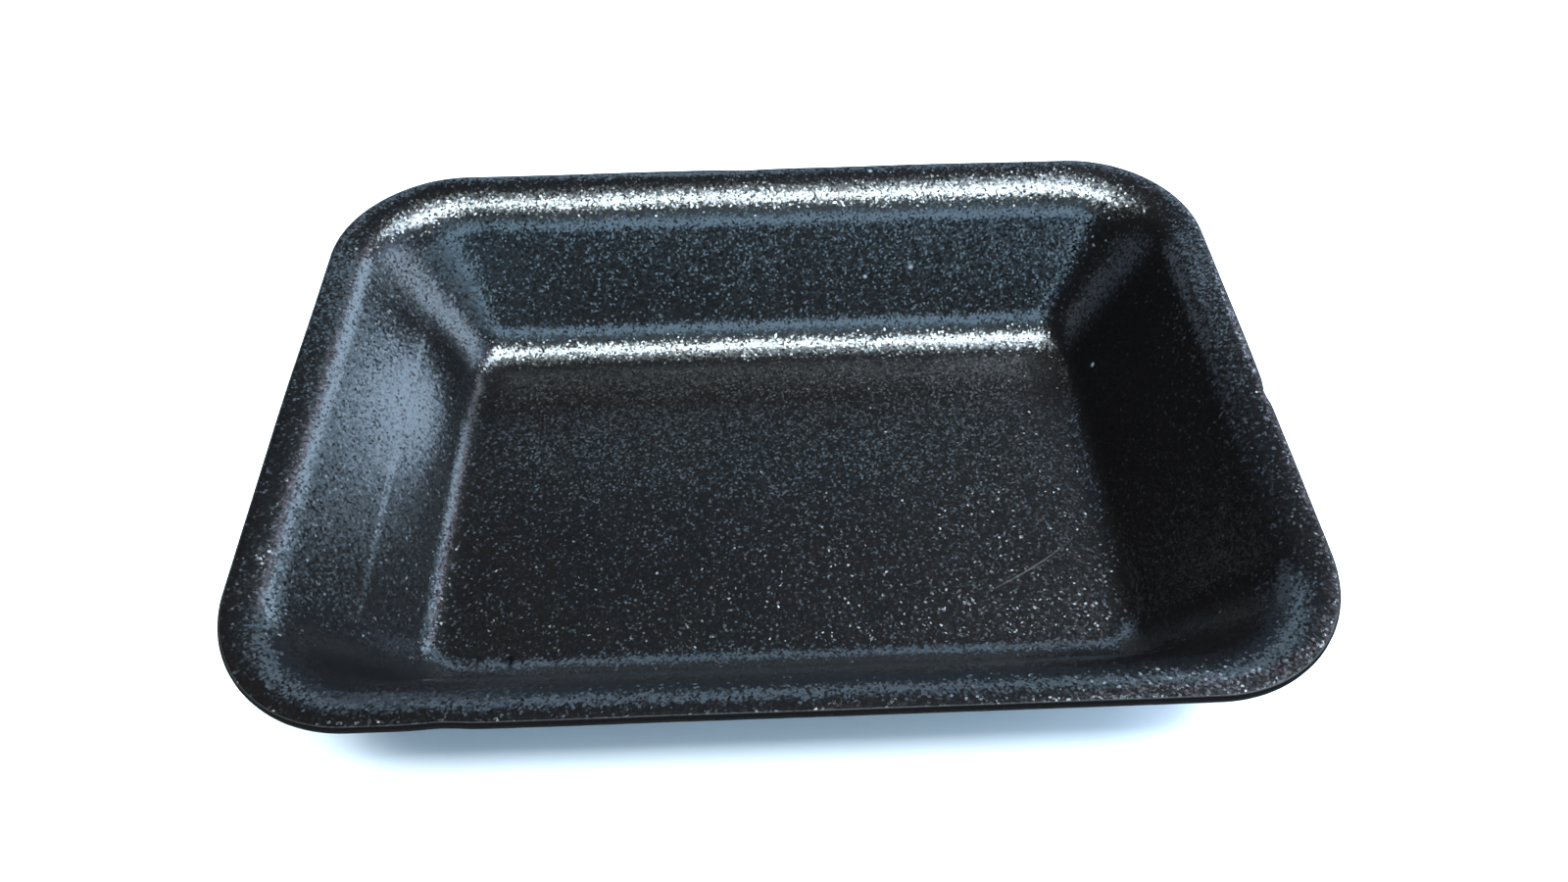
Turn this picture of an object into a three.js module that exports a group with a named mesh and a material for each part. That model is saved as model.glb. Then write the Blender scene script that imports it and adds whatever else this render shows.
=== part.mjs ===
// A foam tray for fresh food: one sheet of expanded foam, pressed hot into a deep round-cornered
// dish. The walls lean outwards and roll over into the rim, which ends in a plain cut edge.
// Millimetres, +Z up, +X along the tray. The origin is in the middle of the flat base.
import * as THREE from "three";

// Driving dimensions
const LENGTH = 210; // outside of the rim, end to end
const WIDTH = 151; // outside of the rim, side to side
const HEIGHT = 41; // base to the top of the rim
const RIM_CORNER = 28.6; // corner radius of the rim's outside, seen from above
const FLOOR_CORNER = 6; // corner radius of the floor where it starts to curve up
const END_SLOPE = 60; // lean of the two end walls, degrees from level
const SIDE_SLOPE = 66; // lean of the two long walls, degrees from level
const END_FLOOR_BEND = 7; // inside radius between an end wall and the floor
const SIDE_FLOOR_BEND = 12; // the same radius on a long wall
const END_RIM_BEND = 10; // radius of the upper face where an end wall rolls over into the rim
const SIDE_RIM_BEND = 14; // the same radius on a long wall
const LEVEL_FROM = 0.6; // how far in from the outside the rim stays level before that roll
const CUT_ROUND = 0.4; // radius of the cut edge's upper corner
const FLOOR_FOAM = 3.5; // foam thickness of the floor
const WALL_FOAM = 3.2; // foam thickness of the walls
const EDGE_FOAM = 2.2; // foam thickness at the rim, where the press pinches it

// How finely the curves are divided
const CUT_STEPS = 2;
const RIM_STEPS = 8;
const WALL_STEPS = 2;
const FLOOR_STEPS = 8;
const CORNER_STEPS = 16;
const LONG_STEPS = 6;
const END_STEPS = 4;
const FLOOR_RINGS = 3;

const { degToRad, lerp } = THREE.MathUtils;

// count + 1 evenly spaced values from start to end.
function spaced(start, end, count) {
  return Array.from({ length: count + 1 }, (_, i) => lerp(start, end, i / count));
}

// The section through one wall, from the rim's cut edge in to where the floor is level. Each sample
// is a point of the upper face (inset from the rim's outside, height), the lean of the face there
// (the angle of its normal from upright, positive towards the tray's middle) and the foam below it.
function wallSection(slopeDegrees, rimBend, floorBend) {
  const slope = degToRad(slopeDegrees);
  const drop = HEIGHT - FLOOR_FOAM;
  const tangent = Math.tan(slope / 2);
  const floorInset = LEVEL_FROM + (rimBend + floorBend) * tangent + drop / Math.tan(slope);

  const edge = { inset: 0, height: HEIGHT, lean: 0, foam: EDGE_FOAM };
  const roll = spaced(0, slope, RIM_STEPS).map((lean) => ({
    inset: LEVEL_FROM + rimBend * Math.sin(lean),
    height: HEIGHT - rimBend * (1 - Math.cos(lean)),
    lean,
    foam: lerp(EDGE_FOAM, WALL_FOAM, lean / slope),
  }));
  const foot = spaced(slope, 0, FLOOR_STEPS).map((lean) => ({
    inset: floorInset - floorBend * Math.sin(lean),
    height: FLOOR_FOAM + floorBend * (1 - Math.cos(lean)),
    lean,
    foam: lerp(FLOOR_FOAM, WALL_FOAM, lean / slope),
  }));
  const wallTop = roll.at(-1);
  const wallFoot = foot[0];
  const wall = spaced(0, 1, WALL_STEPS).slice(1, -1).map((part) => ({
    inset: lerp(wallTop.inset, wallFoot.inset, part),
    height: lerp(wallTop.height, wallFoot.height, part),
    lean: slope,
    foam: WALL_FOAM,
  }));
  return [edge, ...roll, ...wall, ...foot];
}

// The point of the lower face under a sample: the foam's thickness away, square to the upper face.
function underside(sample) {
  return {
    inset: sample.inset - sample.foam * Math.sin(sample.lean),
    height: sample.height - sample.foam * Math.cos(sample.lean),
  };
}

// The rounded upper corner of the cut edge, from the upright cut face in onto the rim.
function cutCorner() {
  return spaced(0, Math.PI / 2, CUT_STEPS).map((turn) => ({
    inset: CUT_ROUND * (1 - Math.cos(turn)),
    height: HEIGHT - CUT_ROUND * (1 - Math.sin(turn)),
  }));
}

// One closed ring of the tray's skin at a given depth, seen from above as a rectangle with round
// corners. The end walls and the long walls have their own inset and height, and each corner
// passes smoothly from one to the other.
function ring(end, side, cornerRadius) {
  const centreX = LENGTH / 2 - end.inset - cornerRadius;
  const centreY = WIDTH / 2 - side.inset - cornerRadius;
  const corners = [[1, 1], [-1, 1], [-1, -1], [1, -1]];
  return corners.flatMap(([signX, signY], quarter) => {
    const start = quarter * (Math.PI / 2);
    const arc = spaced(start, start + Math.PI / 2, CORNER_STEPS).map((angle) => {
      const share = Math.cos(angle) ** 2;
      return new THREE.Vector3(
        signX * centreX + cornerRadius * Math.cos(angle),
        signY * centreY + cornerRadius * Math.sin(angle),
        lerp(side.height, end.height, share),
      );
    });
    // The straight run to the next corner: along a long side after the first and third corners.
    const isLong = quarter % 2 === 0;
    const from = arc.at(-1);
    const to = from.clone().setComponent(isLong ? 0 : 1, -from.getComponent(isLong ? 0 : 1));
    const run = spaced(0, 1, isLong ? LONG_STEPS : END_STEPS).slice(1, -1);
    return [...arc, ...run.map((part) => from.clone().lerp(to, part))];
  });
}

// A level ring shrunk towards the middle, for the flat of the floor and of the base.
function shrunk(points, factor) {
  return points.map((point) => new THREE.Vector3(point.x * factor, point.y * factor, point.z));
}

// The tray's whole skin as one row of rings: the base from its middle outwards, up the outside to
// the cut edge, over the rim and down the inside to the middle of the floor.
function traySkin() {
  const end = wallSection(END_SLOPE, END_RIM_BEND, END_FLOOR_BEND);
  const side = wallSection(SIDE_SLOPE, SIDE_RIM_BEND, SIDE_FLOOR_BEND);
  const floorInset = (end.at(-1).inset + side.at(-1).inset) / 2;
  const upper = [];
  const lower = [];
  end.forEach((endSample, i) => {
    const sideSample = side[i];
    const depth = (endSample.inset + sideSample.inset) / 2 / floorInset;
    const radius = lerp(RIM_CORNER, FLOOR_CORNER, depth);
    const lean = (endSample.lean + sideSample.lean) / 2;
    upper.push(ring(endSample, sideSample, radius));
    lower.push(
      ring(underside(endSample), underside(sideSample), radius + endSample.foam * Math.sin(lean)),
    );
  });
  const inner = spaced(1, 0, FLOOR_RINGS).slice(1, -1);
  upper.push(...inner.map((factor) => shrunk(upper.at(-1), factor)));
  lower.push(...inner.map((factor) => shrunk(lower.at(-1), factor)));
  // The rounded corner stands in for the sharp one that the section starts with.
  const cut = cutCorner().map((point) => ring(point, point, RIM_CORNER - point.inset));
  return [...lower.reverse(), ...cut, ...upper.slice(1)];
}

// Joins rings of equally many points into one closed skin, with a fan over each end.
function skinGeometry(rings) {
  const around = rings[0].length;
  const points = rings.flat();
  const baseMiddle = points.length;
  const floorMiddle = baseMiddle + 1;
  points.push(new THREE.Vector3(0, 0, rings[0][0].z));
  points.push(new THREE.Vector3(0, 0, rings.at(-1)[0].z));

  const triangles = [];
  const last = (rings.length - 1) * around;
  for (let j = 0; j < around; j += 1) {
    const next = (j + 1) % around;
    triangles.push(baseMiddle, next, j);
    triangles.push(floorMiddle, last + j, last + next);
    for (let row = 0; row < last; row += around) {
      triangles.push(row + j, row + next, row + around + next);
      triangles.push(row + j, row + around + next, row + around + j);
    }
  }
  const geometry = new THREE.BufferGeometry().setFromPoints(points);
  geometry.setIndex(triangles);
  geometry.computeVertexNormals();
  return geometry;
}

const blackFoam = new THREE.MeshStandardMaterial({
  color: 0x24272a,
  roughness: 0.42,
  metalness: 0,
});

const tray = new THREE.Mesh(skinGeometry(traySkin()), blackFoam);
tray.name = "tray";

const group = new THREE.Group();
group.add(tray);

export default group;
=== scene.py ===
# %% [markdown]
# # A black foam food tray
# The object is one sheet of black polystyrene foam, pressed hot into a deep dish: sloping walls,
# round corners, walls that roll over into the rim, and a plain cut edge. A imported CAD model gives
# its size and place. This lesson rebuilds the surface much finer than the CAD solid, gives it the
# sparkling skin of the real foam, and lights it from above and from the sides so that every bend
# shows.

# %% The CAD frame
import math

import bpy
import numpy as np
from mathutils import Matrix, Vector, noise


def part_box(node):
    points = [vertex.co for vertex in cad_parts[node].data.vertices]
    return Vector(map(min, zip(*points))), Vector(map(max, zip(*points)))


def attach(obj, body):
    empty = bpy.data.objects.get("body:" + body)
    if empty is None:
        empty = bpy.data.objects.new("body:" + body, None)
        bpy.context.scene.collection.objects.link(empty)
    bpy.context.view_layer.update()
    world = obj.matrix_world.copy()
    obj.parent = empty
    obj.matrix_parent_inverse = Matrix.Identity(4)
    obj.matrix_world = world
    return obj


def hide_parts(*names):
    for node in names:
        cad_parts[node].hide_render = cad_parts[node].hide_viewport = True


MM = 0.001  # the lesson gives sizes in millimetres, and Blender works in metres

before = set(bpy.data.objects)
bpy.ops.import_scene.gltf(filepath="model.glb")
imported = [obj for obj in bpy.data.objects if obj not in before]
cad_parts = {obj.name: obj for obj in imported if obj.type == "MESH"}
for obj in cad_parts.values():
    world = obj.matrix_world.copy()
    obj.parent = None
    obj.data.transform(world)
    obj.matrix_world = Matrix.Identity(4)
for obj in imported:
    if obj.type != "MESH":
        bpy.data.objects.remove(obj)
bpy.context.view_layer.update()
tray_low, tray_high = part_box("tray")
print("CAD tray from", tuple(tray_low), "to", tuple(tray_high))

# %% [markdown]
# ## One helper for every node tree
# Materials and Geometry Nodes are both trees of nodes. One small function adds a node, sets its
# options and plugs in its inputs, so the rest of the lesson reads as a list of what each node does.


# %% Adding a node
def add(tree, kind, inputs=None, **settings):
    """Adds one node. An input is a plain value, another node's socket, or a node (its first output)."""
    made = tree.nodes.new(kind)
    for name, value in settings.items():
        setattr(made, name, value)
    for key, value in (inputs or {}).items():
        source = value.outputs[0] if isinstance(value, bpy.types.Node) else value
        if isinstance(source, bpy.types.NodeSocket):
            tree.links.new(source, made.inputs[key])
        else:
            made.inputs[key].default_value = source
    return made


# %% [markdown]
# ## The tray's sizes
# These are the sizes of the real tray. Its outside comes from the CAD box, so the fine mesh can't
# drift away from the solid that it stands for. The bends and the foam's thickness are those of the
# same pressed section: thin at the pinched rim, thicker in the walls and the floor.

# %% Sizes
LENGTH = tray_high.x - tray_low.x
WIDTH = tray_high.y - tray_low.y
HEIGHT = tray_high.z
RIM_CORNER = 28.6 * MM  # corner radius of the rim's outside
FLOOR_CORNER = 6 * MM  # corner radius of the floor where it starts to curve up
END_SLOPE = math.radians(60)  # lean of the end walls from level
SIDE_SLOPE = math.radians(66)  # lean of the long walls from level
END_FLOOR_BEND = 7 * MM  # inside radius between an end wall and the floor
SIDE_FLOOR_BEND = 12 * MM  # the same on a long wall
END_RIM_BEND = 10 * MM  # radius where an end wall rolls over into the rim
SIDE_RIM_BEND = 14 * MM  # the same on a long wall
LEVEL_FROM = 0.6 * MM  # how far in the rim stays level before that roll
CUT_ROUND = 0.5 * MM  # how far in the crushed corner of the cut edge reaches
FLOOR_FOAM = 3.5 * MM
WALL_FOAM = 3.2 * MM
EDGE_FOAM = 2.2 * MM
print(f"tray {LENGTH / MM:.1f} x {WIDTH / MM:.1f} x {HEIGHT / MM:.1f} mm")


# %% Where the section turns
def section_corners(slope, rim_bend, floor_bend):
    """Insets of the three turns of one wall's section: into the wall, onto the floor, and its end."""
    half = math.tan(slope / 2)
    knee = LEVEL_FROM + rim_bend * half
    crease = knee + (HEIGHT - FLOOR_FOAM) / math.tan(slope)
    return knee, crease, crease + floor_bend * half


end_knee, end_crease, end_stop = section_corners(END_SLOPE, END_RIM_BEND, END_FLOOR_BEND)
side_knee, side_crease, side_stop = section_corners(SIDE_SLOPE, SIDE_RIM_BEND, SIDE_FLOOR_BEND)
print(f"floor {(LENGTH / 2 - end_crease) * 2 / MM:.0f} x {(WIDTH / 2 - side_crease) * 2 / MM:.0f} mm")

# %% [markdown]
# ## The tray as a rule
# A pressed tray follows a simple rule: the same section runs all the way round a rectangle with
# round corners, and the corners tighten on the way down. It could be modelled by hand with a
# subdivided box, but then the bends would only be roughly right. Geometry Nodes can state the rule
# itself. A flat grid is the starting point: one direction of it runs round the tray, the other runs
# from the middle of the base, up the outside, over the rim and down to the middle of the floor.
# Every grid point is then sent to its place.

# %% Inputs of the tree
tree = bpy.data.node_groups.new("pressed tray", "GeometryNodeTree")
tree.is_modifier = True
sizes = {
    "Length": LENGTH,
    "Width": WIDTH,
    "Height": HEIGHT,
    "Rim corner": RIM_CORNER,
    "Floor corner": FLOOR_CORNER,
    "Cut round": CUT_ROUND,
    "Floor foam": FLOOR_FOAM,
    "Wall foam": WALL_FOAM,
    "Edge foam": EDGE_FOAM,
    "End slope": END_SLOPE,
    "End rim bend": END_RIM_BEND,
    "End floor bend": END_FLOOR_BEND,
    "End knee": end_knee,
    "End crease": end_crease,
    "End stop": end_stop,
    "Side slope": SIDE_SLOPE,
    "Side rim bend": SIDE_RIM_BEND,
    "Side floor bend": SIDE_FLOOR_BEND,
    "Side knee": side_knee,
    "Side crease": side_crease,
    "Side stop": side_stop,
}
counts = {"Columns": 400, "Under rows": 84, "Upper rows": 132}
for name in sizes:
    tree.interface.new_socket(name, in_out="INPUT", socket_type="NodeSocketFloat")
for name in counts:
    tree.interface.new_socket(name, in_out="INPUT", socket_type="NodeSocketInt")
tree.interface.new_socket("Foam", in_out="INPUT", socket_type="NodeSocketMaterial")
tree.interface.new_socket("Tray", in_out="OUTPUT", socket_type="NodeSocketGeometry")
given = add(tree, "NodeGroupInput").outputs
print(len(sizes), "sizes and", len(counts), "counts go into the tree")

# %% [markdown]
# ### The section
# A section is a chain of straight runs with rounded turns: in along the rim, down the wall, out
# onto the floor. That is a curve of four points with a Fillet Curve node on it. The end walls and
# the long walls slope differently, so there are two of them.

# %% Two sections
EDGE_PACKING = 1.5  # 1 spreads the rows evenly along the section
RUN_SHARE = 0.74  # share of the rows that lie on the section; the rest spread over the flat floor
FILLET_POINTS = 24  # points on each rounded turn


def section_curve(wall):
    """A curve in the XZ plane: X is the inset from the rim's outside, Z the height."""
    corner_x = (0.0, given[f"{wall} knee"], given[f"{wall} crease"], given[f"{wall} stop"])
    corner_z = (given["Height"], given["Height"], given["Floor foam"], given["Floor foam"])
    turn_radius = (0.0, given[f"{wall} rim bend"], given[f"{wall} floor bend"], 0.0)
    index = add(tree, "GeometryNodeInputIndex")
    places = add(tree, "GeometryNodeIndexSwitch", data_type="VECTOR")
    radii = add(tree, "GeometryNodeIndexSwitch", data_type="FLOAT")
    for switch in (places, radii):
        while len(switch.index_switch_items) < len(corner_x):
            switch.index_switch_items.new()
        tree.links.new(index.outputs[0], switch.inputs["Index"])
    for i, (x, z) in enumerate(zip(corner_x, corner_z)):
        point = add(tree, "ShaderNodeCombineXYZ", {"X": x, "Z": z})
        tree.links.new(point.outputs[0], places.inputs[1 + i])
        if turn_radius[i]:
            tree.links.new(turn_radius[i], radii.inputs[1 + i])
    line = add(tree, "GeometryNodeMeshLine", {"Count": len(corner_x)})
    curve = add(tree, "GeometryNodeMeshToCurve", {"Mesh": line})
    bent = add(tree, "GeometryNodeSetPosition", {"Geometry": curve, "Position": places})
    return add(
        tree,
        "GeometryNodeFilletCurve",
        {"Curve": bent, "Radius": radii, "Count": FILLET_POINTS, "Limit Radius": True},
        mode="POLY",
    )


end_section = section_curve("End")
side_section = section_curve("Side")
print("two sections of", FILLET_POINTS, "points a turn")


# %% [markdown]
# ### Where a grid point stands
# Each grid point needs two answers. Where is it round the tray: on which corner's arc, or how far
# along the straight run after it? And how deep is it: how far along the section, or how far across
# the flat floor?

# %% Round the tray
ARC_SHARE = 0.46  # share of the columns that lie on the corner arcs; the rest lie on the straight runs

grid = add(
    tree,
    "GeometryNodeMeshGrid",
    {"Size X": 1.0, "Size Y": 1.0, "Vertices X": given["Columns"]},
)
row_count = add(tree, "ShaderNodeMath", {0: given["Under rows"], 1: given["Upper rows"]}, operation="ADD")
tree.links.new(row_count.outputs[0], grid.inputs["Vertices Y"])
place = add(tree, "ShaderNodeSeparateXYZ", {0: add(tree, "GeometryNodeInputPosition")})
quarters = add(tree, "ShaderNodeMath", {0: place.outputs["X"], 1: 4.0, 2: 2.0}, operation="MULTIPLY_ADD")
quarter = add(tree, "ShaderNodeMath", {0: quarters}, operation="FLOOR")
within = add(tree, "ShaderNodeMath", {0: quarters}, operation="FRACT")
turned = add(tree, "ShaderNodeMapRange", {"Value": within, "From Max": ARC_SHARE})
run = add(tree, "ShaderNodeMapRange", {"Value": within, "From Min": ARC_SHARE})
corner_turns = add(tree, "ShaderNodeMath", {0: quarter, 1: turned}, operation="ADD")
heading = add(tree, "ShaderNodeMath", {0: corner_turns, 1: math.pi / 2}, operation="MULTIPLY")
cosine = add(tree, "ShaderNodeMath", {0: heading}, operation="COSINE")
sine = add(tree, "ShaderNodeMath", {0: heading}, operation="SINE")
outward = add(tree, "ShaderNodeCombineXYZ", {"X": cosine, "Y": sine})


# %% The corner that a point belongs to
def corner_signs(step):
    """(1, 1), (-1, 1), (-1, -1) or (1, -1): the quarter's corner, or with step 1 the next one."""
    middle = add(tree, "ShaderNodeMath", {0: quarter, 1: step + 0.5}, operation="ADD")
    angle = add(tree, "ShaderNodeMath", {0: middle, 1: math.pi / 2}, operation="MULTIPLY")
    signed = []
    for wave in ("COSINE", "SINE"):
        swing = add(tree, "ShaderNodeMath", {0: angle}, operation=wave)
        signed.append(add(tree, "ShaderNodeMath", {0: swing}, operation="SIGN"))
    return add(tree, "ShaderNodeCombineXYZ", {"X": signed[0], "Y": signed[1]})


MIX_VECTOR = {"factor": 0, "a": 4, "b": 5, "result": 1}  # the Mix node's vector sockets
MIX_FLOAT = {"factor": 0, "a": 2, "b": 3, "result": 0}  # and its float sockets
signs = add(
    tree,
    "ShaderNodeMix",
    {MIX_VECTOR["factor"]: run, MIX_VECTOR["a"]: corner_signs(0), MIX_VECTOR["b"]: corner_signs(1)},
    data_type="VECTOR",
).outputs[MIX_VECTOR["result"]]
end_share = add(tree, "ShaderNodeMath", {0: cosine, 1: 2.0}, operation="POWER")

# %% Down the section
last_row = add(tree, "ShaderNodeMath", {0: row_count, 1: 1.0}, operation="SUBTRACT")
through = add(tree, "ShaderNodeMath", {0: place.outputs["Y"], 1: 0.5}, operation="ADD")
row = add(tree, "ShaderNodeMath", {0: through, 1: last_row}, operation="MULTIPLY")
# Rows below zero here are under the tray, and rows above zero are its upper face.
from_edge = add(tree, "ShaderNodeMath", {0: row, 1: given["Under rows"]}, operation="SUBTRACT")
on_top = add(tree, "ShaderNodeMath", {0: from_edge, 1: -0.5}, operation="GREATER_THAN")
last_under = add(tree, "ShaderNodeMath", {0: given["Under rows"], 1: -1.0}, operation="ADD")
last_upper = add(tree, "ShaderNodeMath", {0: given["Upper rows"], 1: -1.0}, operation="ADD")
up_part = add(tree, "ShaderNodeMath", {0: from_edge, 1: last_upper}, operation="DIVIDE")
past_edge = add(tree, "ShaderNodeMath", {0: -1.0, 1: from_edge}, operation="SUBTRACT")
down_part = add(tree, "ShaderNodeMath", {0: past_edge, 1: last_under}, operation="DIVIDE")
depth_part = add(
    tree,
    "ShaderNodeMix",
    {MIX_FLOAT["factor"]: on_top, MIX_FLOAT["a"]: down_part, MIX_FLOAT["b"]: up_part},
    data_type="FLOAT",
)
# The power packs the rows more closely towards the cut edge, where the corner is small.
along = add(
    tree,
    "ShaderNodeMath",
    {0: add(tree, "ShaderNodeMapRange", {"Value": depth_part, "From Max": RUN_SHARE}), 1: EDGE_PACKING},
    operation="POWER",
)
across = add(tree, "ShaderNodeMapRange", {"Value": depth_part, "From Min": RUN_SHARE})


# %% [markdown]
# ### Reading the two sections
# Sample Curve reads the place and the direction of a section at the point's share of the way. On a
# corner the two readings are mixed, so an end wall turns smoothly into a long wall.


# %% Reading a section
def read_section(curve):
    """The inset, the height and the lean (0 where the face looks up) of the section at this row."""
    sample = add(tree, "GeometryNodeSampleCurve", {"Curves": curve, "Factor": along}, mode="FACTOR")
    where = add(tree, "ShaderNodeSeparateXYZ", {0: sample.outputs["Position"]})
    way = add(tree, "ShaderNodeSeparateXYZ", {0: sample.outputs["Tangent"]})
    falling = add(tree, "ShaderNodeMath", {0: way.outputs["Z"], 1: -1.0}, operation="MULTIPLY")
    lean = add(tree, "ShaderNodeMath", {0: falling, 1: way.outputs["X"]}, operation="ARCTAN2")
    return where.outputs["X"], where.outputs["Z"], lean.outputs[0]


def between(side_value, end_value):
    """A value of the long walls passing into that of the end walls."""
    mixed = add(
        tree,
        "ShaderNodeMix",
        {MIX_FLOAT["factor"]: end_share, MIX_FLOAT["a"]: side_value, MIX_FLOAT["b"]: end_value},
        data_type="FLOAT",
    )
    return mixed.outputs[MIX_FLOAT["result"]]


end_inset, end_height, end_lean = read_section(end_section)
side_inset, side_height, side_lean = read_section(side_section)
height = between(side_height, end_height)
lean = between(side_lean, end_lean)
slope = between(given["Side slope"], given["End slope"])
inset = between(side_inset, end_inset)

# %% [markdown]
# ### The foam's thickness
# The press squeezes the sheet: it is thinnest at the rim's edge and thickest in the floor. The lower
# face lies that thickness away, square to the upper face. At the cut edge both faces close with
# small round corners, because the knife crushes the foam and leaves no sharp ones.

# %% Thickness and cut edge
half_height = add(tree, "ShaderNodeMath", {0: given["Height"], 1: 0.5}, operation="MULTIPLY")
is_rim = add(tree, "ShaderNodeMath", {0: height, 1: half_height}, operation="GREATER_THAN")
level_foam = add(
    tree,
    "ShaderNodeMix",
    {MIX_FLOAT["factor"]: is_rim, MIX_FLOAT["a"]: given["Floor foam"], MIX_FLOAT["b"]: given["Edge foam"]},
    data_type="FLOAT",
)
wall_part = add(tree, "ShaderNodeMath", {0: lean, 1: slope}, operation="DIVIDE", use_clamp=True)
foam_here = add(
    tree,
    "ShaderNodeMix",
    {MIX_FLOAT["factor"]: wall_part, MIX_FLOAT["a"]: level_foam, MIX_FLOAT["b"]: given["Wall foam"]},
    data_type="FLOAT",
)
half_foam = add(tree, "ShaderNodeMath", {0: foam_here, 1: 0.5}, operation="MULTIPLY")
section_length = add(tree, "GeometryNodeCurveLength", {"Curve": side_section})
travel = add(tree, "ShaderNodeMath", {0: along, 1: section_length}, operation="MULTIPLY")
EDGE_SQUARENESS = 4.0  # 2 closes the edge in a half round; more makes it squarer
to_edge = add(
    tree,
    "ShaderNodeMapRange",
    {"Value": travel, "From Max": given["Cut round"], "To Min": 1.0, "To Max": 0.0},
)
gone = add(tree, "ShaderNodeMath", {0: to_edge, 1: EDGE_SQUARENESS}, operation="POWER")
remaining = add(tree, "ShaderNodeMath", {0: 1.0, 1: gone}, operation="SUBTRACT")
fullness = add(tree, "ShaderNodeMath", {0: remaining, 1: 1.0 / EDGE_SQUARENESS}, operation="POWER")
side_sign = add(tree, "ShaderNodeMath", {0: on_top, 1: 2.0, 2: -1.0}, operation="MULTIPLY_ADD")
lift = add(tree, "ShaderNodeMath", {0: side_sign, 1: fullness}, operation="MULTIPLY")
from_upper = add(tree, "ShaderNodeMath", {0: lift, 1: -1.0}, operation="ADD")
offset = add(tree, "ShaderNodeMath", {0: from_upper, 1: half_foam}, operation="MULTIPLY")

# %% [markdown]
# ### Putting the point in its place
# The corner's radius shrinks with depth, from the wide rim corner to the tight floor corner. The
# corner's centre, that radius and the outward heading give the place, and the flat floor and base
# are the same ring drawn in towards the middle.

# %% The loft
sum_inset = add(tree, "ShaderNodeMath", {0: end_inset, 1: side_inset}, operation="ADD")
sum_stop = add(tree, "ShaderNodeMath", {0: given["End stop"], 1: given["Side stop"]}, operation="ADD")
depth = add(tree, "ShaderNodeMath", {0: sum_inset, 1: sum_stop}, operation="DIVIDE")
corner = add(
    tree,
    "ShaderNodeMix",
    {MIX_FLOAT["factor"]: depth, MIX_FLOAT["a"]: given["Rim corner"], MIX_FLOAT["b"]: given["Floor corner"]},
    data_type="FLOAT",
)


def centre(full_size, wall_inset):
    """How far the corner's centre lies from the tray's middle along one axis."""
    half = add(tree, "ShaderNodeMath", {0: given[full_size], 1: 0.5}, operation="MULTIPLY")
    without = add(tree, "ShaderNodeMath", {0: half, 1: wall_inset}, operation="SUBTRACT")
    return add(tree, "ShaderNodeMath", {0: without, 1: corner}, operation="SUBTRACT")


centres = add(
    tree,
    "ShaderNodeCombineXYZ",
    {"X": centre("Length", end_inset), "Y": centre("Width", side_inset)},
)
lean_sine = add(tree, "ShaderNodeMath", {0: lean}, operation="SINE")
lean_cosine = add(tree, "ShaderNodeMath", {0: lean}, operation="COSINE")
inwards = add(tree, "ShaderNodeMath", {0: offset, 1: lean_sine}, operation="MULTIPLY")
radius = add(tree, "ShaderNodeMath", {0: corner, 1: inwards}, operation="SUBTRACT")
at_corner = add(tree, "ShaderNodeVectorMath", {0: centres, 1: signs}, operation="MULTIPLY")
reach = add(tree, "ShaderNodeVectorMath", {0: outward, "Scale": radius}, operation="SCALE")
flat_place = add(tree, "ShaderNodeVectorMath", {0: at_corner, 1: reach}, operation="ADD")
inner_share = add(tree, "ShaderNodeMath", {0: 1.0, 1: across}, operation="SUBTRACT")
drawn_in = add(tree, "ShaderNodeVectorMath", {0: flat_place, "Scale": inner_share}, operation="SCALE")
upwards = add(tree, "ShaderNodeMath", {0: offset, 1: lean_cosine, 2: height}, operation="MULTIPLY_ADD")
tall = add(tree, "ShaderNodeCombineXYZ", {"Z": upwards})
final_place = add(tree, "ShaderNodeVectorMath", {0: drawn_in, 1: tall}, operation="ADD")

# %% [markdown]
# ### Closing the skin
# Attributes have to be read before the points move, so the inset and the face's side are stored on
# the grid first. The material reads the inset to find the cut edge, and the waves read the side.
# Merging the doubled points closes the seam, the two poles and the cut edge into one watertight skin.

# %% Store, move, merge
MERGE = 0.02 * MM
stored = grid
for name, value in (("rim_inset", inset), ("upper", on_top)):
    stored = add(
        tree,
        "GeometryNodeStoreNamedAttribute",
        {"Geometry": stored, "Name": name, "Value": value},
        data_type="FLOAT",
        domain="POINT",
    )
moved = add(tree, "GeometryNodeSetPosition", {"Geometry": stored, "Position": final_place})
merged = add(tree, "GeometryNodeMergeByDistance", {"Geometry": moved, "Distance": MERGE})
smooth = add(tree, "GeometryNodeSetShadeSmooth", {"Geometry": merged})
real = add(tree, "GeometryNodeRealizeInstances", {"Geometry": smooth})
dressed = add(tree, "GeometryNodeSetMaterial", {"Geometry": real, "Material": given["Foam"]})
add(tree, "NodeGroupOutput", {0: dressed})
print(len(tree.nodes), "nodes in the tree")

# %% [markdown]
# ## Running the tree
# The tree runs as a modifier on an empty mesh. Its inputs are set by their socket's identifier
# before Blender first evaluates the object. The result is then copied to a plain mesh, so nothing
# live is left on the piece.

# %% From tree to mesh
foam_material = bpy.data.materials.new("thermoformed_black_polystyrene_foam")


def socket_id(name):
    """The identifier by which a modifier knows one of the tree's inputs."""
    for item in tree.interface.items_tree:
        if item.name == name and item.in_out == "INPUT":
            return item.identifier
    raise KeyError(name)


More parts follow.
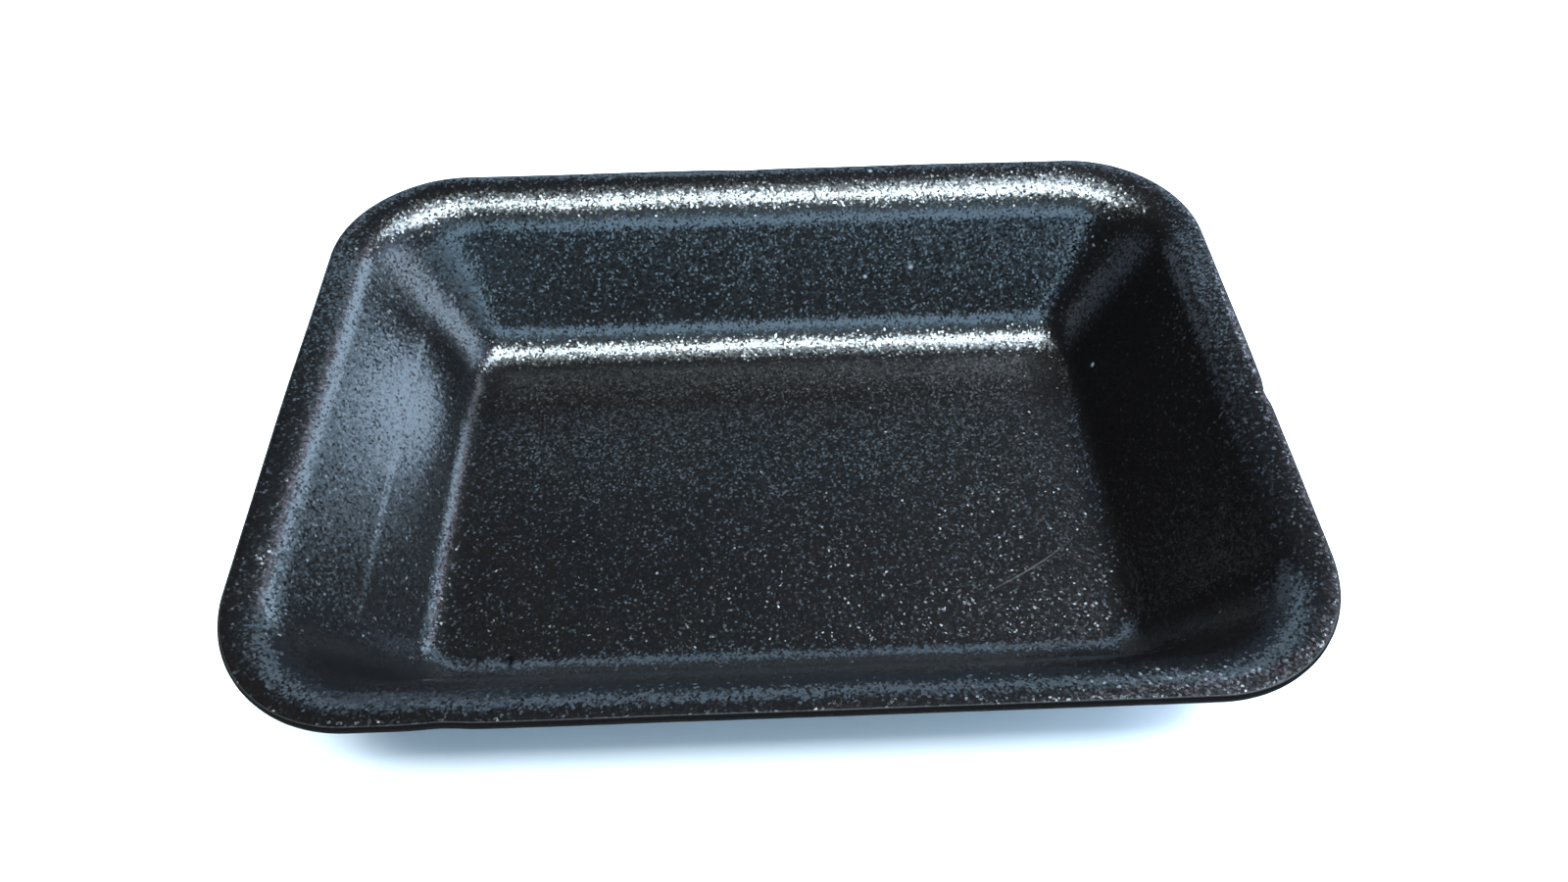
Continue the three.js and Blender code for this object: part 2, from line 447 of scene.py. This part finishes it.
grower = bpy.data.objects.new("grower", bpy.data.meshes.new("empty"))
bpy.context.scene.collection.objects.link(grower)
pressing = grower.modifiers.new("pressed tray", "NODES")
pressing.node_group = tree
for name, value in {**sizes, **counts, "Foam": foam_material}.items():
    pressing[socket_id(name)] = value
evaluated = grower.evaluated_get(bpy.context.evaluated_depsgraph_get())
tray_mesh = bpy.data.meshes.new_from_object(evaluated)
tray_mesh.name = "foam_tray"
grower.modifiers.remove(pressing)
bpy.data.objects.remove(grower)
tray = bpy.data.objects.new("foam_tray", tray_mesh)
bpy.context.scene.collection.objects.link(tray)
print(len(tray_mesh.vertices), "points,", len(tray_mesh.polygons), "faces")

# %% [markdown]
# ## A pressed sheet is never quite true
# Warm foam leaves the mould a little uneven: the floor and the walls have low waves, and the rim's
# outline wanders by tenths of a millimetre. A bump map could only fake that inside the outline, so
# the points themselves are moved. Both faces of the sheet read the same smooth field of noise, so
# they move together and the foam keeps its thickness. The base stays flat, as it stands on it.

# %% Waves
WAVE = 34 * MM  # length of the long waves
WAVE_DEPTH = 0.16 * MM
RIPPLE = 11 * MM  # length of the short ones
RIPPLE_DEPTH = 0.035 * MM
WAVE_SEED = 7  # without one, Blender's noise starts from the clock and each run differs
noise.seed_set(WAVE_SEED)


def read_floats(name):
    """One number for each point of the mesh, from an attribute that the tree stored."""
    values = np.empty(len(tray_mesh.vertices))
    tray_mesh.attributes[name].data.foreach_get("value", values)
    return values


points = np.empty(len(tray_mesh.vertices) * 3)
tray_mesh.vertices.foreach_get("co", points)
points = points.reshape(-1, 3)
field = np.array(
    [
        WAVE_DEPTH * noise.noise_vector(Vector(point) / WAVE)
        + RIPPLE_DEPTH * noise.noise_vector(Vector(point) / RIPPLE)
        for point in points
    ]
)
is_upper = read_floats("upper")
above_base = np.clip(points[:, 2] / FLOOR_FOAM, 0.0, 1.0)
field[:, 2] *= np.maximum(is_upper, above_base)
points += field
print(f"waves move the points by up to {np.abs(field).max() / MM:.2f} mm")

# %% [markdown]
# ### Dents and a low bulge
# The rim has been knocked in three places, and its left side bows out a little. The left wall's back
# half catches more light than a flat wall would, so it is given a low bulge near its foot. Each is a
# push that fades out smoothly with distance, which could also be done by hand with proportional
# editing. Here the place, reach and push of each can be read and changed.

# %% Pushes
DENTS = [  # place, reach and push, all in millimetres
    ((104.8, -5.7, 40.0), 2.4, (-0.55, 0.0, -0.2)),
    ((-59.8, -75.3, 40.0), 4.0, (0.0, 0.4, 0.0)),
    ((-6.0, 75.3, 40.0), 5.0, (0.0, -0.4, 0.0)),
    ((-104.8, 5.0, 40.0), 40.0, (-0.4, 0.0, 0.0)),
]
BULGE_PLACE = (-84.0, 26.0, 14.0)
BULGE_REACH = (12.0, 26.0, 12.0)
BULGE_PUSH = (0.9, 0.0, 0.5)


def push_points(place_mm, reach_mm, push_mm, share):
    """Pushes the points near a place. The share is 0 for the points that stay where they are."""
    away = (points - np.array(place_mm) * MM) / (np.array(reach_mm) * MM)
    falloff = np.exp(-(away**2).sum(axis=1)) * share
    points[:] += falloff[:, None] * np.array(push_mm) * MM


for dent_place, dent_reach, dent_push in DENTS:
    push_points(dent_place, dent_reach, dent_push, points[:, 2] > HEIGHT / 2)
push_points(BULGE_PLACE, BULGE_REACH, BULGE_PUSH, above_base)
points[:, 2] = np.clip(points[:, 2], 0.0, HEIGHT)
tray_mesh.vertices.foreach_set("co", points.ravel())
tray_mesh.update()
print(len(DENTS), "dents and one bulge")

# %% [markdown]
# ## Black polystyrene foam
# The tray is expanded polystyrene sheet, coloured with carbon black and thermoformed. The hot press
# gives it a thin glossy skin over flattened bubbles. Seen close, that skin is a field of tiny
# facets: most lie nearly level, and a few stand steeply. The level ones make the sharp highlights
# along the bends, and the steep ones sparkle far away from them. Between the lamps' reflections the
# foam is almost black. Polystyrene's index of refraction is 1.59, a little above that of most
# plastics, so its reflections are a little stronger too.

# %% Colours
def linear(code):
    """A colour written as an sRGB hex value, as the linear RGBA that a socket takes."""
    channels = [int(code[i : i + 2], 16) / 255 for i in (1, 3, 5)]
    return (*(c / 12.92 if c <= 0.04045 else ((c + 0.055) / 1.055) ** 2.4 for c in channels), 1.0)


FOAM_BLACK = linear("#060607")
FOAM_BROWN = linear("#0c0807")
CRUMB_GREY = linear("#7c8288")
SCRATCH_GREY = linear("#3c3a38")
FOAM_IOR = 1.59
FOAM_ROUGHNESS = 0.22

# %% Coordinates
foam_material.use_nodes = True
skin_tree = foam_material.node_tree
skin_tree.nodes.clear()
here = add(skin_tree, "ShaderNodeTexCoord").outputs["Object"]

# %% [markdown]
# ### Orange peel
# Soft lumps of about a millimetre are the bubbles that show through the skin. They are a bump map.

# %% Lumps
LUMP = 0.8 * MM
LUMP_DEPTH = 0.035 * MM

lumps = add(
    skin_tree,
    "ShaderNodeTexNoise",
    {"Vector": here, "Scale": 1 / LUMP, "Detail": 2.5, "Roughness": 0.6},
)
lumpy = add(skin_tree, "ShaderNodeBump", {"Strength": 1.0, "Distance": LUMP_DEPTH, "Height": lumps})

# %% [markdown]
# ### The sheen on the left wall
# The real left wall has a soft bright area on its back half. Flat, at this slope, it would only
# mirror the inside of the tray. What the wall really does there isn't known, so this is a stand-in:
# two soft masks turn the normal upwards, further than the low bulge in the mesh does, and the wall
# then catches the window lamps. The same kind of mask places the small marks further down.


# %% A soft mask
def blob(centre, reach):
    """A mask: 1 in the middle of a soft ellipsoid and 0 outside it. Both are in millimetres."""
    away = add(skin_tree, "ShaderNodeVectorMath", {0: here, 1: Vector(centre) * MM}, operation="SUBTRACT")
    scaled = add(skin_tree, "ShaderNodeVectorMath", {0: away, 1: Vector(reach) * MM}, operation="DIVIDE")
    distance = add(skin_tree, "ShaderNodeVectorMath", {0: scaled}, operation="LENGTH").outputs["Value"]
    return add(
        skin_tree,
        "ShaderNodeMapRange",
        {"Value": distance, "To Min": 1.0, "To Max": 0.0},
        interpolation_type="SMOOTHSTEP",
    ).outputs[0]


# %% Turning the normal up
SHEEN_PLACE = (-88, 10, 21)  # the wide, weak part of the sheen, in millimetres
SHEEN_REACH = (34, 60, 36)
SHEEN_LIFT = 0.27
GLOW_PLACE = (-82, 27, 12)  # the brighter part near the foot
GLOW_REACH = (17, 38, 19)
GLOW_LIFT = 0.26

sheen = blob(SHEEN_PLACE, SHEEN_REACH)
glow = blob(GLOW_PLACE, GLOW_REACH)
sheen_upturn = add(skin_tree, "ShaderNodeMath", {0: sheen, 1: SHEEN_LIFT}, operation="MULTIPLY")
upturn = add(
    skin_tree, "ShaderNodeMath", {0: glow, 1: GLOW_LIFT, 2: sheen_upturn}, operation="MULTIPLY_ADD"
)
lifted = add(skin_tree, "ShaderNodeVectorMath", {0: (0.0, 0.0, 1.0), "Scale": upturn}, operation="SCALE")
turned_up = add(skin_tree, "ShaderNodeVectorMath", {0: lumpy, 1: lifted}, operation="ADD")

# %% [markdown]
# ### Facets
# Voronoi cells are the facets. Each cell has a random direction of its own, and the steepness
# follows the same law that a rough surface's microfacets follow: with u between 0 and 1, the slope
# is the typical slope times the square root of u / (1 - u). Here u stops at 0.93, so a little over
# half of the facets are flatter than the typical slope and about one in thirty is more than three
# times as steep. The cells are about as small as the picture can show, and the real ones are finer.

# %% Facets
FACET = 0.5 * MM
TYPICAL_SLOPE = 0.085
STEEPEST = 0.93  # the largest u, which keeps the slope finite
SHEEN_FACETS = 0.7  # how steep the facets are on the smoother left wall, next to the rest

cells = add(skin_tree, "ShaderNodeTexVoronoi", {"Vector": here, "Scale": 1 / FACET})
centred = add(
    skin_tree,
    "ShaderNodeVectorMath",
    {0: cells.outputs["Color"], 1: (0.5, 0.5, 0.5)},
    operation="SUBTRACT",
)
direction = add(skin_tree, "ShaderNodeVectorMath", {0: centred}, operation="NORMALIZE")
chance = add(skin_tree, "ShaderNodeTexWhiteNoise", {"Vector": cells.outputs["Position"]})
scarce = add(skin_tree, "ShaderNodeMath", {0: chance.outputs["Value"], 1: STEEPEST}, operation="MULTIPLY")
rest_of = add(skin_tree, "ShaderNodeMath", {0: 1.0, 1: scarce}, operation="SUBTRACT")
odds = add(skin_tree, "ShaderNodeMath", {0: scarce, 1: rest_of}, operation="DIVIDE")
steepness = add(skin_tree, "ShaderNodeMath", {0: odds}, operation="SQRT")
softness = add(skin_tree, "ShaderNodeMapRange", {"Value": sheen, "To Min": 1.0, "To Max": SHEEN_FACETS})
local_slope = add(skin_tree, "ShaderNodeMath", {0: softness, 1: TYPICAL_SLOPE}, operation="MULTIPLY")
facet_slope = add(skin_tree, "ShaderNodeMath", {0: steepness, 1: local_slope}, operation="MULTIPLY")
tilt = add(skin_tree, "ShaderNodeVectorMath", {0: direction, "Scale": facet_slope}, operation="SCALE")
tilted = add(skin_tree, "ShaderNodeVectorMath", {0: turned_up, 1: tilt}, operation="ADD")
facet_normal = add(skin_tree, "ShaderNodeVectorMath", {0: tilted}, operation="NORMALIZE")

# %% [markdown]
# ### The cut edge
# The knife opens the bubbles, so the cut face has no skin: it is dull. The tree stored how far each
# point is from the rim's outside, and that tells the shader where the cut is.

# %% Where the cut is
CUT_FROM = 0.2 * MM
CUT_TO = 0.6 * MM
CUT_ROUGHNESS = 0.9
CUT_SPECULAR = 0.02
SKIN_SPECULAR = 0.5  # the shader's own value, which leaves the gloss to the index of refraction

rim_inset = add(skin_tree, "ShaderNodeAttribute", attribute_name="rim_inset").outputs["Fac"]


def from_cut(cut_value, skin_value):
    """A value of the cut face passing into that of the skin."""
    return add(
        skin_tree,
        "ShaderNodeMapRange",
        {
            "Value": rim_inset,
            "From Min": CUT_FROM,
            "From Max": CUT_TO,
            "To Min": cut_value,
            "To Max": skin_value,
        },
    )


roughness = from_cut(CUT_ROUGHNESS, FOAM_ROUGHNESS)
specular = from_cut(CUT_SPECULAR, SKIN_SPECULAR)

# %% [markdown]
# ### Small marks
# Some patches of the foam are browner, spread at random by a noise texture. A few white crumbs lie on the
# tray, a light scratch curves over the floor, and there is a dark nick in the near crease.

# %% Patches and crumbs
PATCH = 30 * MM
MIX_COLOUR = {"factor": 0, "a": 6, "b": 7, "result": 2}  # the Mix node's colour sockets
CRUMBS = [  # place and radius, in millimetres
    ((36.9, 57.6, 22.0), 1.0),
    ((25.0, 56.5, 20.0), 0.8),
    ((26.7, 73.3, 40.9), 0.8),
    ((81.3, 31.2, 10.9), 0.9),
]

patches = add(skin_tree, "ShaderNodeTexNoise", {"Vector": here, "Scale": 1 / PATCH, "Detail": 2.0})


def recolour(colour, mask, new_colour):
    """The colour, replaced by the new one where the mask is 1."""
    mixed = add(
        skin_tree,
        "ShaderNodeMix",
        {MIX_COLOUR["factor"]: mask, MIX_COLOUR["a"]: colour, MIX_COLOUR["b"]: new_colour},
        data_type="RGBA",
    )
    return mixed.outputs[MIX_COLOUR["result"]]


colour = recolour(FOAM_BLACK, patches.outputs[0], FOAM_BROWN)
for crumb_place, crumb_size in CRUMBS:
    colour = recolour(colour, blob(crumb_place, (crumb_size,) * 3), CRUMB_GREY)
print(len(CRUMBS), "crumbs")

# %% Scratch
SCRATCH_CENTRE = (1.5, 67.2, 3.5)  # the scratch is part of a circle round this place
SCRATCH_RADIUS = 107 * MM
SCRATCH_WIDTH = 0.35 * MM
SCRATCH_MIDDLE = (56.7, -23.5, 3.5)
SCRATCH_REACH = (17, 17, 5)

flat_away = add(
    skin_tree, "ShaderNodeVectorMath", {0: here, 1: Vector(SCRATCH_CENTRE) * MM}, operation="SUBTRACT"
)
flat = add(skin_tree, "ShaderNodeVectorMath", {0: flat_away, 1: (1.0, 1.0, 0.0)}, operation="MULTIPLY")
ring_distance = add(skin_tree, "ShaderNodeVectorMath", {0: flat}, operation="LENGTH").outputs["Value"]
from_line = add(skin_tree, "ShaderNodeMath", {0: ring_distance, 1: SCRATCH_RADIUS}, operation="SUBTRACT")
beside = add(skin_tree, "ShaderNodeMath", {0: from_line}, operation="ABSOLUTE")
line = add(
    skin_tree,
    "ShaderNodeMapRange",
    {"Value": beside, "From Max": SCRATCH_WIDTH, "To Min": 1.0, "To Max": 0.0},
)
scratch = add(
    skin_tree,
    "ShaderNodeMath",
    {0: line, 1: blob(SCRATCH_MIDDLE, SCRATCH_REACH)},
    operation="MULTIPLY",
)
colour = recolour(colour, scratch.outputs[0], SCRATCH_GREY)

# %% Nick
NICK_PLACE = (-58.7, -43.6, 3.8)
NICK_REACH = (1.2, 3.0, 2.5)
NICK_BLACK = linear("#000000")

nick = blob(NICK_PLACE, NICK_REACH)
colour = recolour(colour, nick, NICK_BLACK)
unnicked = add(skin_tree, "ShaderNodeMath", {0: 1.0, 1: nick}, operation="SUBTRACT")
specular = add(skin_tree, "ShaderNodeMath", {0: specular, 1: unnicked}, operation="MULTIPLY")

# %% The shader
skin = add(
    skin_tree,
    "ShaderNodeBsdfPrincipled",
    {
        "Base Color": colour,
        "Roughness": roughness,
        "Specular IOR Level": specular,
        "IOR": FOAM_IOR,
        "Normal": facet_normal,
    },
)
add(skin_tree, "ShaderNodeOutputMaterial", {"Surface": skin})
print(len(skin_tree.nodes), "nodes in the foam's material")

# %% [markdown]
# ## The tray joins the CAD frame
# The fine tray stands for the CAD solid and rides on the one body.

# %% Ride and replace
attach(tray, "root")
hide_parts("tray")
print("foam_tray stands for the CAD node tray")

# %% [markdown]
# ## Floor
# A plain pale floor, large enough that its edge isn't in the picture from the photograph's angle. It
# also throws soft light back up under the rim, as a white worktop does.

# %% Floor
FLOOR_SIZE = 6.0
floor_material = bpy.data.materials.new("matt_white_card")
floor_material.use_nodes = True
card = floor_material.node_tree
card.nodes.clear()
paper = add(card, "ShaderNodeBsdfDiffuse", {"Color": linear("#f4f4f4")})
add(card, "ShaderNodeOutputMaterial", {"Surface": paper})
half_floor = FLOOR_SIZE / 2
floor_mesh = bpy.data.meshes.new("floor")
quarter_signs = ((-1, -1), (1, -1), (1, 1), (-1, 1))
floor_corners = [(x * half_floor, y * half_floor, 0) for x, y in quarter_signs]
floor_mesh.from_pydata(floor_corners, [], [(0, 1, 2, 3)])
floor_mesh.materials.append(floor_material)
floor = bpy.data.objects.new("floor", floor_mesh)
bpy.context.scene.collection.objects.link(floor)

# %% [markdown]
# ## Light
# A black glossy thing shows its lamps more than its colour, so the lamps are placed by the
# highlights they should make. Each lamp is an area light that faces the tray. Their first strengths
# and tints were fitted to the photograph with a separate program, and most were then changed by eye.

# %% Lamps
LAMP_DISTANCE = 1.6
NEARLY_OVERHEAD = math.radians(80)  # from here up, straight up no longer tells a lamp's top edge


def lamp(name, azimuth, elevation, width, height, radiance, colour):
    """An area light that faces the tray. Azimuth 0 is behind it (+Y) and 90 its right (+X)."""
    data = bpy.data.lights.new(name, "AREA")
    data.shape = "RECTANGLE"
    data.size = 2 * LAMP_DISTANCE * math.tan(math.radians(width / 2))
    data.size_y = 2 * LAMP_DISTANCE * math.tan(math.radians(height / 2))
    data.energy = radiance * math.pi * data.size * data.size_y
    data.color = linear(colour)[:3]
    turn, rise = math.radians(azimuth), math.radians(elevation)
    along_ground = math.cos(rise)
    direction = Vector((math.sin(turn) * along_ground, math.cos(turn) * along_ground, math.sin(rise)))
    made = bpy.data.objects.new(name, data)
    up = Vector((0, 0, 1)) if abs(rise) < NEARLY_OVERHEAD else Vector((0, 1, 0))
    side = up.cross(direction).normalized()
    top = direction.cross(side)
    facing = Matrix((side, top, direction)).transposed().to_4x4()
    made.matrix_world = Matrix.Translation(direction * LAMP_DISTANCE) @ facing
    bpy.context.scene.collection.objects.link(made)
    return made


lamp("ceiling", 180, 76, 40, 15, 33.0, "#e6f7ff")
lamp("ceiling_halo", 180, 78, 50, 30, 2.0, "#e6f7ff")
lamp("ceiling_corner", 100, 67, 36, 14, 21.0, "#dcefff")
lamp("ceiling_back", 0, 84, 40, 12, 2.0, "#e6f7ff")
lamp("front_window", 180, 26, 44, 18, 5.6, "#b8e0ff")
lamp("front_fill", 180, 42, 44, 14, 1.1, "#b8e0ff")
lamp("front_right", 138, 14, 46, 18, 3.2, "#b9dfff")
lamp("back_fill", 0, 36, 44, 13, 3.3, "#bfe2ff")
lamp("back_low", 0, 12, 40, 14, 0.3, "#9fd4ff")
lamp("window_corner", 43, 24, 22, 20, 8.6, "#c6e4ff")
lamp("window_corner_low", 50, 6, 34, 16, 3.2, "#c6e4ff")
lamp("ridge", 44, 41, 14, 9, 4.4, "#e9dcf6")
lamp("window", 90, 22, 36, 14, 8.0, "#d0e9ff")
lamp("window_high", 90, 36, 36, 14, 3.0, "#b9d4ff")
lamp("far_left", -32, 14, 24, 26, 0.95, "#c6e2ff")
lamp("left", -90, 12, 36, 16, 0.8, "#c6e2ff")

# %% [markdown]
# ## Backdrop
# From low angles the camera sees past the floor. The backdrop should look pale there, but a pale one
# would also wash out the black foam. The Light Path node gives the camera one brightness and the
# light that falls on the tray another.

# %% Backdrop
BACKDROP_LIGHT = 0.02  # what the backdrop adds to the light on the tray
BACKDROP_SEEN = 0.85  # how bright it looks behind the floor

world = bpy.data.worlds.new("studio")
bpy.context.scene.world = world
world.use_nodes = True
studio = world.node_tree
studio.nodes.clear()
seen = add(studio, "ShaderNodeLightPath").outputs["Is Camera Ray"]
brightness = add(
    studio,
    "ShaderNodeMath",
    {0: seen, 1: BACKDROP_SEEN, 2: BACKDROP_LIGHT},
    operation="MULTIPLY_ADD",
)
backdrop = add(studio, "ShaderNodeBackground", {"Color": linear("#e8edf2"), "Strength": brightness})
add(studio, "ShaderNodeOutputWorld", {"Surface": backdrop})

# %% [markdown]
# ## Camera
# The camera looks down into the tray from in front, from about a hand's length above it, which is why
# the near side looks so much longer than the far one. Its place, angles and lens were fitted to the
# tray's outline in the photograph.

# %% Camera
CAMERA_PLACE = Vector((-2.2, -162.5, 223.15)) * MM
CAMERA_YAW = math.radians(1.440)
CAMERA_PITCH = math.radians(50.966)  # downwards
CAMERA_ROLL = math.radians(-0.731)
CAMERA_LENS = 26.055

ahead = Vector(
    (
        math.sin(CAMERA_YAW) * math.cos(CAMERA_PITCH),
        math.cos(CAMERA_YAW) * math.cos(CAMERA_PITCH),
        -math.sin(CAMERA_PITCH),
    )
)
level = Vector((math.cos(CAMERA_YAW), -math.sin(CAMERA_YAW), 0))
upright = level.cross(ahead)
rightwards = math.cos(CAMERA_ROLL) * level + math.sin(CAMERA_ROLL) * upright
above = math.cos(CAMERA_ROLL) * upright - math.sin(CAMERA_ROLL) * level
camera_data = bpy.data.cameras.new("camera")
camera_data.sensor_width = 36
camera_data.lens = CAMERA_LENS
camera = bpy.data.objects.new("camera", camera_data)
camera_turn = Matrix((rightwards, above, -ahead)).transposed().to_4x4()
camera.matrix_world = Matrix.Translation(CAMERA_PLACE) @ camera_turn
bpy.context.scene.collection.objects.link(camera)
bpy.context.scene.camera = camera
bpy.context.scene.view_settings.view_transform = "Standard"
